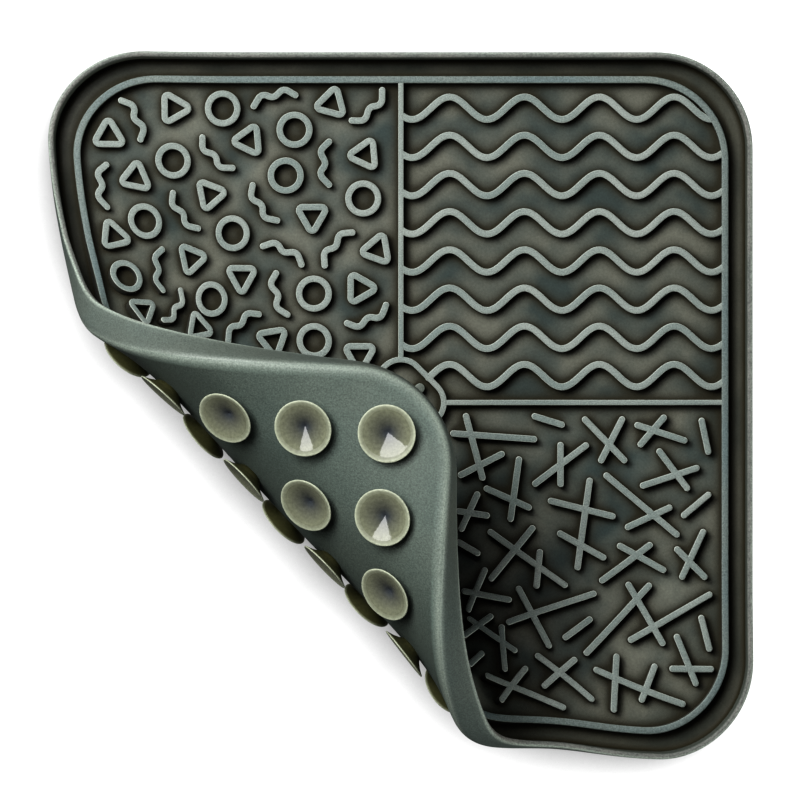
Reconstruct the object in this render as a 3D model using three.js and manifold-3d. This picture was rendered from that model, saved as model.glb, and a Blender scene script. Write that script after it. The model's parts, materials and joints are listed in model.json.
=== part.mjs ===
// A square silicone lick mat, moulded in one piece, with one corner curled over on top of it.
// Millimetres, +Z up. The mat is drawn flat about its middle, the corner is curled, and the
// suction cups are then set on its back, each one keeping its own shape.
import * as THREE from 'three';
import Module from 'manifold-3d';
import { mergeVertices } from 'three/addons/utils/BufferGeometryUtils.js';

const wasm = await Module();
wasm.setup();

// Driving sizes of the moulding.
const HALF = 100;
const CORNER = 27.5;
const FLOOR = 2;
const RIM = { height: 9, wall: 1.9 };
const EDGE_RIDGE = { half: 93.2, corner: 24, wall: 2, height: 3.3 };
const RING = { half: 11.3, corner: 7.2, wall: 1.6, height: 3.2 };
const DIVIDER = { wall: 1.5, height: 3.1, x: 0.2, y: 0.6 };
const WAVE = {
  rows: 8, first: 84.1, pitch: 10.84, length: 21.25, crest: 14, swing: 3.2, wall: 1.9, height: 3,
};
const STROKE = { wall: 1.85, height: 2.8 };
const CIRCLE = { outer: 5.15 };
const TRIANGLE = { inner: 3.25 };
const PEG = { x: 4.4, y: 3.8, length: 3.6, wall: 2.8, turn: 45, height: 2.4 };
const CUP = { count: 8, pitch: 23.4, height: 2.8, neck: 3.7, lip: 8.1, land: 1.1, hollow: 2.2 };
const COLOUR = 0x5d6964;

// The back of the flat mat stands this high, on its cups.
const BACK = CUP.height;
const FLOOR_TOP = BACK + FLOOR;
// Ridges reach this far down into the floor that they grow from.
const ROOT = 1;

// The curl of the corner, section by section along the middle line: each stretch of the
// sheet, its length, and how far the sheet has turned from flat by its end.
const CURL_START = 5;
const CURL = [
  { length: 12, turned: 5 },
  { length: 12, turned: 11 },
  { length: 12, turned: 41 },
  { length: 12, turned: 84 },
  { length: 12, turned: 103 },
  { length: 12, turned: 122 },
  { length: 12, turned: 140 },
  { length: 12, turned: 156 },
  { length: 12, turned: 167 },
  { length: 12, turned: 175 },
  { length: 16, turned: 183 },
];
// The fold line's angle below +X. Towards the line's two ends the curl starts earlier and
// opens wider, because the stiff rim resists it: each by one share that grows with the square
// of the distance and one that grows with its fourth power.
const FOLD_ANGLE = THREE.MathUtils.degToRad(46.6);
const ENDS = { reach: 100, earlier: 35, earliest: 12, wider: 0.62, widest: 0.46 };
// The curl pulls the left side and the near side in, around these places. The near side
// bulges out a little further on.
const PULLED = [
  { side: 'left', at: 29, width: 27, inward: 5.1 },
  { side: 'near', at: 39, width: 19, inward: 2.2 },
  { side: 'near', at: 70, width: 16, inward: -0.5 },
];
const PULL = { from: 40, over: 60 };
// The curled surface follows the true curve at least this closely.
const CHORD = 1;

// Motifs of the far left quarter. A triangle's turn is where its first corner points, and a
// squiggle's turn is the direction in which its two humps lie to the left.
const CIRCLES = [
  { x: -50.5, y: 84 }, { x: -30, y: 78 }, { x: -65, y: 69 }, { x: -32.5, y: 65 },
  { x: -10.5, y: 58.5 }, { x: -74.5, y: 51.5 }, { x: -48, y: 48.5 }, { x: -83, y: 34.5 },
  { x: -24.5, y: 31.5 }, { x: -55, y: 29.5 }, { x: -24.5, y: 18 },
];
const TRIANGLES = [
  { x: -83, y: 76, turn: 90 }, { x: -64.5, y: 84, turn: 0 }, { x: -19.5, y: 85.5, turn: 75 },
  { x: -43, y: 75, turn: 65 }, { x: -10, y: 71, turn: 65 }, { x: -76, y: 64, turn: 80 },
  { x: -54.5, y: 59.5, turn: 10 }, { x: -25, y: 53.5, turn: -90 }, { x: -84.5, y: 47, turn: 105 },
  { x: -6.5, y: 44, turn: 70 }, { x: -61, y: 41, turn: 10 }, { x: -45.5, y: 36, turn: -90 },
  { x: -11.5, y: 33, turn: 0 }, { x: -79, y: 24, turn: 155 }, { x: -59.5, y: 21, turn: 105 },
  { x: -36.5, y: 18, turn: 40 }, { x: -11.5, y: 14, turn: 150 },
];
const SQUIGGLES = [
  { x: -75.5, y: 81, turn: -65 }, { x: -36, y: 87.5, turn: 15 }, { x: -8.5, y: 84, turn: -135 },
  { x: -86, y: 61.5, turn: 85 }, { x: -53, y: 70.5, turn: 135 }, { x: -21.5, y: 68.5, turn: 90 },
  { x: -63, y: 54, turn: 125 }, { x: -39.5, y: 56.5, turn: 125 }, { x: -33, y: 43.5, turn: -25 },
  { x: -18.5, y: 45, turn: 50 }, { x: -72, y: 37.5, turn: 85 }, { x: -35, y: 31, turn: 105 },
  { x: -67.5, y: 26, turn: -125 }, { x: -46, y: 22.5, turn: 40 }, { x: -9, y: 24.5, turn: -155 },
];
// One squiggle's middle line, along and aside.
const SQUIGGLE_LINE = [
  { along: -6.1, aside: -1.3 },
  { along: -3, aside: 1.7 },
  { along: -0.1, aside: -0.6 },
  { along: 3.4, aside: 1.5 },
  { along: 6.1, aside: -1.3 },
];

// Sticks of the near right quarter: the middle, the length between the ends' middles and the
// direction, for x, y, length and turn in this order.
const STICKS = [
  [21, -12, 18, 105], [26.5, -9, 23, 176], [23, -17, 13, 27], [42, -4.5, 8, 163],
  [58, -10, 16, 134], [60, -10, 13, 63], [74, -8, 14, 162], [71.5, -7.5, 10, 49],
  [86.5, -9, 9, 102], [77.5, -18.5, 13, 127], [76.5, -20.5, 16, 18], [45.5, -17, 11, 90],
  [45.5, -17, 18, 37], [32.5, -24, 17, 82], [30.5, -26.5, 13, 156], [19.5, -30.5, 11, 65],
  [20.5, -31, 8, 172], [19, -41, 6, 150], [52, -34, 25, 82], [51.5, -29.5, 18, 166],
  [51.5, -40, 14, 151], [68.5, -28.5, 26, 140], [70.5, -32, 13, 25], [84, -28.5, 9, 40],
  [83, -42.5, 14, 65], [82.5, -45, 11, 135], [64, -45, 17, 37], [68.5, -43.5, 14, 151],
  [36, -44, 26, 144], [31.5, -42.5, 19, 51], [39, -47, 10, 84], [21, -53.5, 13, 66],
  [24, -55, 13, 169], [37.5, -61.5, 19, 116], [42.5, -58.5, 26, 20], [50, -64.5, 9, 39],
  [69.5, -59.5, 19, 120], [61.5, -61.5, 27, 48], [76.5, -60.5, 26, 30], [86.5, -65, 9, 104],
  [81, -72.5, 14, 112], [82.5, -75, 11, 179], [25, -67, 16, 145], [20.5, -64.5, 11, 36],
  [28, -71, 13, 89], [18.5, -75, 6, 39], [33.5, -84, 25, 161], [30, -82, 13, 47],
  [46, -79, 19, 143], [44.5, -78, 12, 43], [67.5, -80.5, 26, 161], [60.5, -79.5, 15, 86],
  [70, -79, 10, 68],
];

// How coarsely round things are cut.
const CORNER_STEPS = 3;
const ROUND_STEPS = 8;
const WAVE_STEPS = 6;
const CUP_SIDES = 8;

const rad = THREE.MathUtils.degToRad;

// Solids from three.js geometry, and back.
function solidOf(geometry) {
  const bare = geometry.clone();
  for (const name of Object.keys(bare.attributes)) {
    if (name !== 'position') bare.deleteAttribute(name);
  }
  const merged = mergeVertices(bare, 1e-4);
  const vertProperties = Float32Array.from(merged.attributes.position.array);
  const triVerts = Uint32Array.from(merged.index.array);
  return new wasm.Manifold(new wasm.Mesh({ numProp: 3, vertProperties, triVerts }));
}

function slab(shape, low, high) {
  const settings = { depth: high - low, bevelEnabled: false, curveSegments: CORNER_STEPS };
  const geometry = new THREE.ExtrudeGeometry(shape, settings);
  geometry.translate(0, 0, low);
  return solidOf(geometry);
}

// Outlines.
function roundedSquare(half, corner, turn = 0, x = 0, y = 0) {
  const shape = new THREE.Shape();
  const inset = half - corner;
  for (let quarter = 0; quarter < 4; quarter += 1) {
    const angle = turn + quarter * Math.PI / 2;
    const diagonal = angle + Math.PI / 4;
    const cx = x + inset * Math.SQRT2 * Math.cos(diagonal);
    const cy = y + inset * Math.SQRT2 * Math.sin(diagonal);
    shape.absarc(cx, cy, corner, angle, angle + Math.PI / 2, false);
  }
  return shape;
}

// A ribbon of even width along a middle line, mitred at its corners.
function ribbon(line, width) {
  const headings = line.slice(1).map((point, i) => point.clone().sub(line[i]).normalize());
  const left = [];
  const right = [];
  line.forEach((point, i) => {
    const next = headings[Math.min(i, headings.length - 1)];
    const heading = headings[Math.max(i - 1, 0)].clone().add(next).normalize();
    const reach = width / 2 / heading.dot(next);
    const side = new THREE.Vector2(-heading.y, heading.x).multiplyScalar(reach);
    left.push(point.clone().add(side));
    right.unshift(point.clone().sub(side));
  });
  return new THREE.Shape([...left, ...right]);
}

function turned(along, aside, { x, y, turn }) {
  const cos = Math.cos(rad(turn));
  const sin = Math.sin(rad(turn));
  return new THREE.Vector2(x + along * cos - aside * sin, y + along * sin + aside * cos);
}

function ridge(shape, height) {
  return slab(shape, FLOOR_TOP - ROOT, FLOOR_TOP + height);
}

// The pieces of the moulding, as laid flat.
function tray() {
  const block = slab(roundedSquare(HALF, CORNER), BACK, BACK + RIM.height);
  const inside = roundedSquare(HALF - RIM.wall, CORNER - RIM.wall);
  return block.subtract(slab(inside, FLOOR_TOP, BACK + RIM.height + ROOT));
}

function edgeRidge() {
  const { half, corner, wall, height } = EDGE_RIDGE;
  const shape = roundedSquare(half, corner);
  shape.holes.push(roundedSquare(half - wall, corner - wall));
  return ridge(shape, height);
}

function centreRing() {
  const { half, corner, wall, height } = RING;
  const { x, y } = DIVIDER;
  const shape = roundedSquare(half, corner, Math.PI / 4, x, y);
  shape.holes.push(roundedSquare(half - wall, corner - wall, Math.PI / 4, x, y));
  return ridge(shape, height);
}

function straightRidge(x, y, length, turn, wall, height) {
  const row = { x, y, turn };
  const line = [turned(-length / 2, 0, row), turned(length / 2, 0, row)];
  return ridge(ribbon(line, wall), height);
}

function dividers() {
  const start = (RING.half - RING.corner) * Math.SQRT2 + RING.corner - RING.wall / 2;
  const end = EDGE_RIDGE.half - EDGE_RIDGE.wall / 2;
  const middle = (start + end) / 2;
  return [0, 90, 180, 270].map((turn) => {
    const { x, y } = turned(middle, 0, { x: DIVIDER.x, y: DIVIDER.y, turn });
    return straightRidge(x, y, end - start, turn, DIVIDER.wall, DIVIDER.height);
  });
}

function waveRow(row) {
  const level = WAVE.first - row * WAVE.pitch;
  const step = WAVE.length / WAVE_STEPS;
  // The last row starts at the ring in the middle, the others at the divider.
  const from = row === WAVE.rows - 1 ? RING.half * Math.SQRT1_2 + 0.4 : DIVIDER.x;
  const to = EDGE_RIDGE.half - EDGE_RIDGE.wall / 2;
  const height = (x) => level + WAVE.swing * Math.cos(2 * Math.PI * (x - WAVE.crest) / WAVE.length);
  const line = [new THREE.Vector2(from, height(from))];
  const first = Math.ceil((from + step / 3 - WAVE.crest) / step);
  for (let x = WAVE.crest + first * step; x < to - step / 3; x += step) {
    line.push(new THREE.Vector2(x, height(x)));
  }
  line.push(new THREE.Vector2(to, height(to)));
  return ridge(ribbon(line, WAVE.wall), WAVE.height);
}

function circle({ x, y }) {
  const outline = (radius) => {
    const points = [];
    for (let i = 0; i < ROUND_STEPS; i += 1) {
      points.push(turned(radius, 0, { x, y, turn: (i + 0.5) * 360 / ROUND_STEPS }));
    }
    return points;
  };
  const shape = new THREE.Shape(outline(CIRCLE.outer));
  shape.holes.push(new THREE.Path(outline(CIRCLE.outer - STROKE.wall)));
  return ridge(shape, STROKE.height);
}

// A triangle with sharp corners inside and rounded ones outside.
function triangle({ x, y, turn }) {
  const outer = [];
  const inner = [];
  for (const corner of [turn, turn + 120, turn + 240]) {
    const tip = turned(TRIANGLE.inner, 0, { x, y, turn: corner });
    inner.push(tip);
    for (const swing of [-40, 40]) {
      outer.push(turned(STROKE.wall, 0, { x: tip.x, y: tip.y, turn: corner + swing }));
    }
  }
  const shape = new THREE.Shape(outer);
  shape.holes.push(new THREE.Path(inner));
  return ridge(shape, STROKE.height);
}

function squiggle(row) {
  const line = SQUIGGLE_LINE.map(({ along, aside }) => turned(along, aside, row));
  return ridge(ribbon(line, STROKE.wall), STROKE.height);
}

function stick([x, y, length, turn]) {
  return straightRidge(x, y, length + STROKE.wall * 0.8, turn, STROKE.wall, STROKE.height);
}

function peg() {
  return straightRidge(PEG.x, PEG.y, PEG.length, PEG.turn, PEG.wall, PEG.height);
}

function flatMat() {
  const rows = Array.from({ length: WAVE.rows }, (_, row) => waveRow(row));
  const motifs = [
    ...CIRCLES.map(circle),
    ...TRIANGLES.map(triangle),
    ...SQUIGGLES.map(squiggle),
    ...STICKS.map(stick),
  ];
  const ridges = [edgeRidge(), centreRing(), peg(), ...dividers(), ...rows, ...motifs];
  return ridges.reduce((whole, piece) => whole.add(piece), tray());
}

// The curl. along runs across the fold towards the curled corner, aside runs along the fold.
function ease(value) {
  const v = THREE.MathUtils.clamp(value, 0, 1);
  return v * v * (3 - 2 * v);
}

function curlSection(distance) {
  let reach = Math.min(distance, CURL_START);
  let height = 0;
  let begin = CURL_START;
  let before = 0;
  for (const { length, turned: degrees } of CURL) {
    const after = rad(degrees);
    const used = THREE.MathUtils.clamp(distance - begin, 0, length);
    const bend = (after - before) / length;
    const angle = before + bend * used;
    reach += (Math.sin(angle) - Math.sin(before)) / bend;
    height += (Math.cos(before) - Math.cos(angle)) / bend;
    begin += length;
    before = after;
  }
  return { reach, height };
}

function sheetPoint(along, aside) {
  const square = (aside / ENDS.reach) ** 2;
  const start = -ENDS.earlier * square - ENDS.earliest * square ** 2;
  const tightness = Math.exp(-ENDS.wider * square - ENDS.widest * square ** 2);
  const { reach, height } = curlSection((along - start) * tightness);
  return new THREE.Vector3(reach / tightness + start, aside, height / tightness);
}

const ALONG = new THREE.Vector2(-Math.sin(FOLD_ANGLE), -Math.cos(FOLD_ANGLE));
const ASIDE = new THREE.Vector2(Math.cos(FOLD_ANGLE), -Math.sin(FOLD_ANGLE));

function toRoom({ x: along, y: aside, z }) {
  const x = along * ALONG.x + aside * ASIDE.x;
  const y = along * ALONG.y + aside * ASIDE.y;
  return new THREE.Vector3(x, y, z);
}

function pulled(x, y) {
  const flat = new THREE.Vector2(x, y);
  for (const { side, at, width, inward } of PULLED) {
    const [beside, out] = side === 'left' ? [y, -x] : [x, -y];
    const shift = inward * Math.exp(-(((beside - at) / width) ** 2)) * ease((out - PULL.from) / PULL.over);
    flat.add(side === 'left' ? new THREE.Vector2(shift, 0) : new THREE.Vector2(0, shift));
  }
  return flat;
}

function backPoint(x, y) {
  const flat = pulled(x, y);
  return toRoom(sheetPoint(flat.dot(ALONG), flat.dot(ASIDE))).add(new THREE.Vector3(0, 0, BACK));
}

// Where a place on the flat mat's back goes, with the directions of the sheet there.
function curled(x, y) {
  const step = 0.5;
  const right = backPoint(x + step, y).sub(backPoint(x - step, y)).normalize();
  const far = backPoint(x, y + step).sub(backPoint(x, y - step)).normalize();
  const normal = right.clone().cross(far).normalize();
  return { point: backPoint(x, y), normal, right };
}

function curledPoint(x, y, z) {
  const { point, normal } = curled(x, y);
  return point.addScaledVector(normal, z - BACK);
}

// Cuts every edge that would stray from the curve once it is curled, until none does.
function curlSolid(solid) {
  const mesh = solid.getMesh();
  const flat = [];
  for (let i = 0; i < mesh.vertProperties.length; i += mesh.numProp) {
    flat.push(new THREE.Vector3(...mesh.vertProperties.slice(i, i + 3)));
  }
  const room = flat.map(({ x, y, z }) => curledPoint(x, y, z));
  let faces = [];
  for (let i = 0; i < mesh.triVerts.length; i += 3) {
    faces.push([...mesh.triVerts.slice(i, i + 3)]);
  }

  const strays = (a, b) => [0.25, 0.5, 0.75].some((share) => {
    const { x, y, z } = flat[a].clone().lerp(flat[b], share);
    return curledPoint(x, y, z).distanceTo(room[a].clone().lerp(room[b], share)) > CHORD;
  });

  let cutting = true;
  while (cutting) {
    const middles = new Map();
    const middle = (a, b) => {
      const key = a < b ? `${a} ${b}` : `${b} ${a}`;
      if (!middles.has(key)) {
        let made = null;
        if (strays(a, b)) {
          const halfway = flat[a].clone().lerp(flat[b], 0.5);
          made = flat.push(halfway) - 1;
          room.push(curledPoint(halfway.x, halfway.y, halfway.z));
        }
        middles.set(key, made);
      }
      return middles.get(key);
    };
    faces = faces.flatMap((face) => splitFace(face, middle, room));
    cutting = [...middles.values()].some((made) => made !== null);
  }
  const vertProperties = Float32Array.from(room.flatMap(({ x, y, z }) => [x, y, z]));
  const triVerts = Uint32Array.from(faces.flat());
  return new wasm.Manifold(new wasm.Mesh({ numProp: 3, vertProperties, triVerts }));
}

// A face whose edges get new middles becomes two, three or four faces.
function splitFace([a, b, c], middle, room) {
  const ab = middle(a, b);
  const bc = middle(b, c);
  const ca = middle(c, a);
  const cuts = [ab, bc, ca].filter((made) => made !== null).length;
  if (cuts === 0) return [[a, b, c]];
  if (cuts === 3) return [[a, ab, ca], [ab, b, bc], [ca, bc, c], [ab, bc, ca]];
  if (cuts === 1) {
    if (ab !== null) return [[a, ab, c], [ab, b, c]];
    if (bc !== null) return [[a, b, bc], [a, bc, c]];
    return [[a, b, ca], [ca, b, c]];
  }
  // Two cuts: turned so that the whole edge is the one from the first corner to the second.
  let corners = [a, b, c];
  let cut = [bc, ca];
  if (bc === null) {
    corners = [b, c, a];
    cut = [ca, ab];
  } else if (ca === null) {
    corners = [c, a, b];
    cut = [ab, bc];
  }
  const [first, second, third] = corners;
  const [near, far] = cut;
  const tip = [far, near, third];
  if (room[first].distanceTo(room[near]) < room[second].distanceTo(room[far])) {
    return [tip, [first, second, near], [first, near, far]];
  }
  return [tip, [first, second, far], [second, near, far]];
}

// A suction cup: a flare from a neck in the floor out to a flat lip, and a shallow cone inside.
function cup(x, y) {
  const { height, neck, lip, land, hollow } = CUP;
  const profile = [
    new THREE.Vector2(0, hollow - height),
    new THREE.Vector2(lip - land, -height),
    new THREE.Vector2(lip, -height),
    new THREE.Vector2(neck, FLOOR / 2),
    new THREE.Vector2(0, FLOOR / 2),
  ];
  const geometry = new THREE.LatheGeometry(profile, CUP_SIDES);
  geometry.rotateX(Math.PI / 2);
  const { point, normal, right } = curled(x, y);
  const far = normal.clone().cross(right);
  geometry.applyMatrix4(new THREE.Matrix4().makeBasis(right, far, normal));
  geometry.translate(point.x, point.y, point.z);
  // A cup that starts to tilt is pressed up into its neck, so that its lip stays on the table.
  geometry.computeBoundingBox();
  geometry.translate(0, 0, Math.max(0, -geometry.boundingBox.min.z));
  return solidOf(geometry);
}

function cups() {
  const edge = CUP.pitch * (CUP.count - 1) / 2;
  const places = Array.from({ length: CUP.count }, (_, i) => i * CUP.pitch - edge);
  return places.flatMap((x) => places.map((y) => cup(x, y)));
}

function meshOf(solid, name) {
  const { vertProperties, triVerts } = solid.getMesh();
  const geometry = new THREE.BufferGeometry();
  geometry.setAttribute('position', new THREE.BufferAttribute(vertProperties, 3));
  geometry.setIndex(new THREE.BufferAttribute(triVerts, 1));
  const material = new THREE.MeshStandardMaterial({ color: COLOUR, roughness: 0.62, metalness: 0 });
  const mesh = new THREE.Mesh(geometry, material);
  mesh.name = name;
  return mesh;
}

const moulding = cups().reduce((whole, piece) => whole.add(piece), curlSolid(flatMat()));

const part = new THREE.Group();
part.name = 'lick_mat';
part.add(meshOf(moulding, 'mat'));

export default part;
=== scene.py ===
# %% [markdown]
# A silicone lick mat with one corner curled over
# The real object is one soft moulding: a square tray with low ridges in four fields, and rows
# of suction cups on its back. One corner has been rolled over the tray, so the cups there look
# up. The plan is to model every piece as it comes out of the mould, flat, and then to bend all
# of it with one function. That keeps each piece simple, and they all follow the same curl.

# %% Load the frame
import functools
import json
import math

import bmesh
import bpy
import numpy as np
from mathutils import Matrix, Vector

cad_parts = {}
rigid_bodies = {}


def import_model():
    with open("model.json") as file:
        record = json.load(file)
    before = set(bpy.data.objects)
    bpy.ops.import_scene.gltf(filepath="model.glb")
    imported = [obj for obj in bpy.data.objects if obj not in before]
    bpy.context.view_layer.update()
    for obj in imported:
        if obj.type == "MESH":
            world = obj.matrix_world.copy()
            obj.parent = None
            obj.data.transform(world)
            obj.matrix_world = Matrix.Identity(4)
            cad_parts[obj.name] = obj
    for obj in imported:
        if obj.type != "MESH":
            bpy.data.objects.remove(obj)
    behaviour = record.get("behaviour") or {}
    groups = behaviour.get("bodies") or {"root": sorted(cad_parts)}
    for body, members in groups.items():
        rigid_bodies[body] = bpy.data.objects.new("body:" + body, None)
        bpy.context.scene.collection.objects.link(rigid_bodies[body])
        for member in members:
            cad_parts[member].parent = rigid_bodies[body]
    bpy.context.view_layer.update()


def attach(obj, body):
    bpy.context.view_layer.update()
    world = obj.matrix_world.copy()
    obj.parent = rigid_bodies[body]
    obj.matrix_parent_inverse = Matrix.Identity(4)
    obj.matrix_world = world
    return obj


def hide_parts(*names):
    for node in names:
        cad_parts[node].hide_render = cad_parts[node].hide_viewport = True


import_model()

# %% [markdown]
# The camera
# The photograph looks straight down on the mat from well above it, so its edges stay straight
# and the curled corner is only a little larger than the rest. A long lens at 1.65 m gives the
# same view.

# %% Camera
CAMERA_PLACE = (-0.00006, 0.00131, 1.65)
SENSOR_WIDTH = 36
FOCAL_LENGTH = 260.5
FARTHEST_VIEW = 20

scene_objects = bpy.context.scene.collection.objects
camera = bpy.data.objects.new("camera", bpy.data.cameras.new("camera"))
scene_objects.link(camera)
camera.data.sensor_width = SENSOR_WIDTH
camera.data.lens = FOCAL_LENGTH
camera.data.clip_end = FARTHEST_VIEW
camera.location = CAMERA_PLACE
bpy.context.scene.camera = camera
print("camera at", CAMERA_PLACE, "lens", FOCAL_LENGTH, "mm")

# %% [markdown]
# The sizes of the moulding
# A moulding is described best by what its mould maker would write down, in millimetres and laid
# flat. The back hangs a little over the table, on its cups. The rim's height is measured from
# that back, and a ridge's height from the floor that it stands on.

# %% Sizes of the moulding
MM = 0.001
HALF = 100
CORNER = 27.5
FLOOR = 2
BACK = 2.8
EDGE_RIDGE = {"half": 92.2, "corner": 23, "width": 2, "height": 3.3}
RING = {"half": 10.5, "corner": 6.4, "width": 1.6, "height": 3.15}
DIVIDER = {"x": 0.2, "y": 0.6, "width": 1.5, "height": 3.1}
PEG = {"x": 4.3, "y": 3.4, "turn": 45, "length": 3.6, "width": 2.8, "height": 2.4}
STROKE = {"width": 1.85, "height": 2.8}
WAVE = {"width": 1.95, "height": 3.0, "rows": 8, "first": 84.1, "pitch": 10.84}
SWING = {"size": 3.2, "length": 21.25, "crest": 14}
CUP = {"count": 8, "pitch": 23.4, "lip": 7.9, "sides": 40}
print("flat size", 2 * HALF, "mm square, corners of radius", CORNER, "mm")

# %% [markdown]
# The curl
# The corner is rolled over a slanting line. A section across that line shows how far the sheet
# has turned after each stretch of its length. Joining arcs of these turns gives a profile with
# no kinks. Towards the ends of the line the rim is stiff, so the curl starts earlier there and
# is wider. Two sides of the mat are also drawn in a little beside the curl. Bending the sheet
# with a Simple Deform modifier would turn it evenly about one axis, which a real curl never
# does, so the bend is a function of the flat place instead.

# %% The curl's section, and the sides that are drawn in
FOLD_ANGLE = math.radians(46.6)
ALONG = (-math.sin(FOLD_ANGLE), -math.cos(FOLD_ANGLE))
ASIDE = (math.cos(FOLD_ANGLE), -math.sin(FOLD_ANGLE))
CURL_START = 5
CURL = [
    # length, turned by its end
    (12, 5),
    (12, 11),
    (12, 41),
    (12, 84),
    (12, 103),
    (12, 122),
    (12, 140),
    (12, 156),
    (12, 167),
    (12, 175),
    (16, 183),
]
PULLED = [
    # side, at, width, inward
    ("left", 29, 27, 5.1),
    ("near", 39, 19, 2.2),
    ("near", 70, 16, -0.5),
]
PULL_STARTS, PULL_GROWS = 40, 60


def ease(value):
    value = np.clip(value, 0, 1)
    return value * value * (3 - 2 * value)


def pull(place, outwards, at, width, inward):
    """How far a side is drawn in at a place along it, growing outwards from the middle."""
    bump = inward * np.exp(-(((place - at) / width) ** 2))
    return bump * ease((outwards - PULL_STARTS) / PULL_GROWS)


def curl_section(distance):
    """How far along and how high the sheet is, after this length of it."""
    reach = np.minimum(distance, CURL_START)
    height = np.zeros_like(distance)
    begin, before = CURL_START, 0.0
    for length, degrees in CURL:
        after = math.radians(degrees)
        used = np.clip(distance - begin, 0, length)
        bend = (after - before) / length
        angle = before + bend * used
        reach = reach + (np.sin(angle) - math.sin(before)) / bend
        height = height + (math.cos(before) - np.cos(angle)) / bend
        begin, before = begin + length, after
    return reach, height


flat_run, top = curl_section(np.array([CURL_START + sum(length for length, _ in CURL)]))
print("the section ends at", flat_run.round(1), "mm along and", top.round(1), "mm up")

# %% The curl as a function of the flat place
ENDS = {"earlier": 35, "earliest": 12, "wider": 0.62, "widest": 0.46}
HALF_STEP = 0.5
TIP = (-92.0, -92.0, 0.0)


def back_place(x, y):
    """Where a point of the mat's back goes."""
    pulled_x, pulled_y = x, y
    for side, at, width, inward in PULLED:
        if side == "left":
            pulled_x = pulled_x + pull(y, -x, at, width, inward)
        else:
            pulled_y = pulled_y + pull(x, -y, at, width, inward)
    along = pulled_x * ALONG[0] + pulled_y * ALONG[1]
    aside = pulled_x * ASIDE[0] + pulled_y * ASIDE[1]
    square = (aside / HALF) ** 2
    start = -ENDS["earlier"] * square - ENDS["earliest"] * square**2
    tightness = np.exp(-ENDS["wider"] * square - ENDS["widest"] * square**2)
    reach, height = curl_section((along - start) * tightness)
    reach, height = reach / tightness + start, height / tightness
    x = reach * ALONG[0] + aside * ASIDE[0]
    y = reach * ALONG[1] + aside * ASIDE[1]
    return np.stack([x, y, height + BACK], axis=-1)


def directions(x, y):
    """Which way the sheet's own right and its own top point at a flat place."""
    right = back_place(x + HALF_STEP, y) - back_place(x - HALF_STEP, y)
    far = back_place(x, y + HALF_STEP) - back_place(x, y - HALF_STEP)
    normal = np.cross(right, far)
    normal /= np.linalg.norm(normal, axis=-1, keepdims=True)
    right /= np.linalg.norm(right, axis=-1, keepdims=True)
    return right, normal


def curl(flat):
    x, y, height = flat[:, 0], flat[:, 1], flat[:, 2]
    normal = directions(x, y)[1]
    return back_place(x, y) + normal * height[:, None]


print("the curled corner's tip lies at", curl(np.array([TIP]))[0].round(1), "mm")

# %% [markdown]
# From flat mesh to finished piece
# Each piece is made flat, in millimetres, and its points are then moved by the curl. It could be
# placed by its object instead, but with its place in its mesh it fits the frame as it is. All
# the pieces stand for the one moulding, so they all take the same three calls.

# %% Turning flat meshes into curled pieces
def points_of(mesh):
    places = np.empty(len(mesh.vertices) * 3)
    mesh.vertices.foreach_get("co", places)
    return places.reshape(-1, 3)


def curl_mesh(mesh):
    mesh.vertices.foreach_set("co", (curl(points_of(mesh)) * MM).ravel())
    mesh.update()


def volume_of(mesh):
    solid = bmesh.new()
    solid.from_mesh(mesh)
    volume = solid.calc_volume(signed=True)
    solid.free()
    return volume


def face_outwards(mesh):
    if volume_of(mesh) < 0:
        mesh.flip_normals()


def add_piece(name, mesh):
    mesh.name = name
    piece = bpy.data.objects.new(name, mesh)
    scene_objects.link(piece)
    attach(piece, "root")
    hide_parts("mat")
    triangles = sum(len(face.vertices) - 2 for face in mesh.polygons)
    print(name, triangles, "triangles, volume", round(volume_of(mesh) * 1e6, 2), "cm3")
    return piece


# %% [markdown]
# Trees of nodes
# The finishes and the ridges are made with nodes. A tree could be drawn in the node editor, but
# one that is built in the script can be read and changed in one place. These helpers make a
# tree with named inputs, put a node into it, and set or link its sockets by name.

# %% A small kit for nodes
def new_tree(name, kind, inputs, outputs):
    """A node group with named sockets, and the sockets at its two ends."""
    tree = bpy.data.node_groups.new(name, kind)
    for title, socket_type, value in inputs:
        socket = tree.interface.new_socket(title, in_out="INPUT", socket_type=socket_type)
        if value is not None:
            socket.default_value = value
    for title, socket_type in outputs:
        tree.interface.new_socket(title, in_out="OUTPUT", socket_type=socket_type)
    given, made = tree.nodes.new("NodeGroupInput"), tree.nodes.new("NodeGroupOutput")
    return tree, given.outputs, made.inputs


def feed(tree, socket, value):
    """Links another node's socket to this one, or sets this one's own value."""
    if isinstance(value, bpy.types.NodeSocket):
        tree.links.new(value, socket)
    else:
        socket.default_value = value


def put(tree, kind, settings=None, **sockets):
    """A new node, with its settings made and its named sockets fed."""
    node = tree.nodes.new(kind)
    for title, value in (settings or {}).items():
        setattr(node, title, value)
    for title, value in sockets.items():
        wanted = title.replace("_", " ").lower()
        socket = next(s for s in node.inputs if s.name.lower() == wanted and s.enabled)
        feed(tree, socket, value)
    return node


def maths(tree, operation, *values, kind="ShaderNodeMath", **settings):
    """The result of one sum, or of one logic step, on sockets and plain numbers."""
    node = put(tree, kind, {"operation": operation, **settings})
    for socket, value in zip(node.inputs, values):
        feed(tree, socket, value)
    return node.outputs[0]


def ramp_range(tree, value, low, high, to_low=0.0, to_high=1.0):
    """Stretches low..high of a value to to_low..to_high, and goes no further."""
    limits = {"From Min": low, "From Max": high, "To Min": to_low, "To Max": to_high}
    return put(tree, "ShaderNodeMapRange", Value=value, **limits).outputs["Result"]


def noise(tree, place, scale, detail, roughness):
    fineness = {"Scale": scale, "Detail": detail, "Roughness": roughness}
    return put(tree, "ShaderNodeTexNoise", Vector=place, **fineness).outputs["Fac"]


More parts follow.
